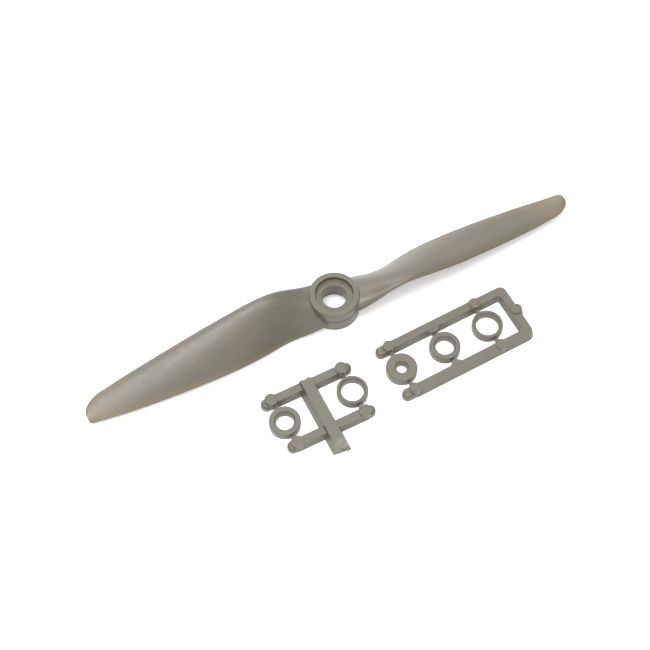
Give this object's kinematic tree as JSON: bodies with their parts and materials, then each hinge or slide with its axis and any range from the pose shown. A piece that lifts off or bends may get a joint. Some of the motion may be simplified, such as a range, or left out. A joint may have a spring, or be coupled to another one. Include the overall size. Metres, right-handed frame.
{
  "type": "propeller",
  "caption": "Reverse-pitch model aircraft propeller with twisted blades and a bored hub, lying beside the moulding frames that hold its shaft adapter rings.",
  "frame": {"origin": "hub axis at the hub's rear face, which is also the surface that everything lies on", "axes": "+Z forward out of the hub's front face along the bore, +X along the blade that lies over the larger ring frame, +Y towards that blade's trailing edge, away from the ring frames"},
  "size_m": [0.1396, 0.0443, 0.0102],
  "materials": {
    "blade_nylon": "satin moulded glass-filled nylon",
    "frame_nylon": "satin moulded glass-filled nylon",
    "ring_nylon": "satin moulded glass-filled nylon"
  },
  "bodies": {
    "propeller": {"propeller": "blade_nylon"},
    "large_ring_frame": {"large_ring_frame": "frame_nylon"},
    "small_ring_frame": {"small_ring_frame": "frame_nylon"},
    "adapter_ring_3_0": {"adapter_ring_3_0": "ring_nylon"},
    "adapter_ring_5_0": {"adapter_ring_5_0": "ring_nylon"},
    "adapter_ring_6_1": {"adapter_ring_6_1": "ring_nylon"},
    "adapter_ring_4_8": {"adapter_ring_4_8": "ring_nylon"},
    "adapter_ring_6_0": {"adapter_ring_6_0": "ring_nylon"}
  },
  "joints": [
    {"name": "large_frame_lift", "type": "slide", "parent": "propeller", "child": "large_ring_frame", "axis": [0, 0, 1], "range_m": [0, 0.015]},
    {"name": "small_frame_lift", "type": "slide", "parent": "propeller", "child": "small_ring_frame", "axis": [0, 0, 1], "range_m": [0, 0.015]},
    {"name": "ring_3_0_lift", "type": "slide", "parent": "large_ring_frame", "child": "adapter_ring_3_0", "axis": [0, 0, 1], "range_m": [0, 0.01]},
    {"name": "ring_5_0_lift", "type": "slide", "parent": "large_ring_frame", "child": "adapter_ring_5_0", "axis": [0, 0, 1], "range_m": [0, 0.01]},
    {"name": "ring_6_1_lift", "type": "slide", "parent": "large_ring_frame", "child": "adapter_ring_6_1", "axis": [0, 0, 1], "range_m": [0, 0.01]},
    {"name": "ring_4_8_lift", "type": "slide", "parent": "small_ring_frame", "child": "adapter_ring_4_8", "axis": [0, 0, 1], "range_m": [0, 0.01]},
    {"name": "ring_6_0_lift", "type": "slide", "parent": "small_ring_frame", "child": "adapter_ring_6_0", "axis": [0, 0, 1], "range_m": [0, 0.01]}
  ]
}
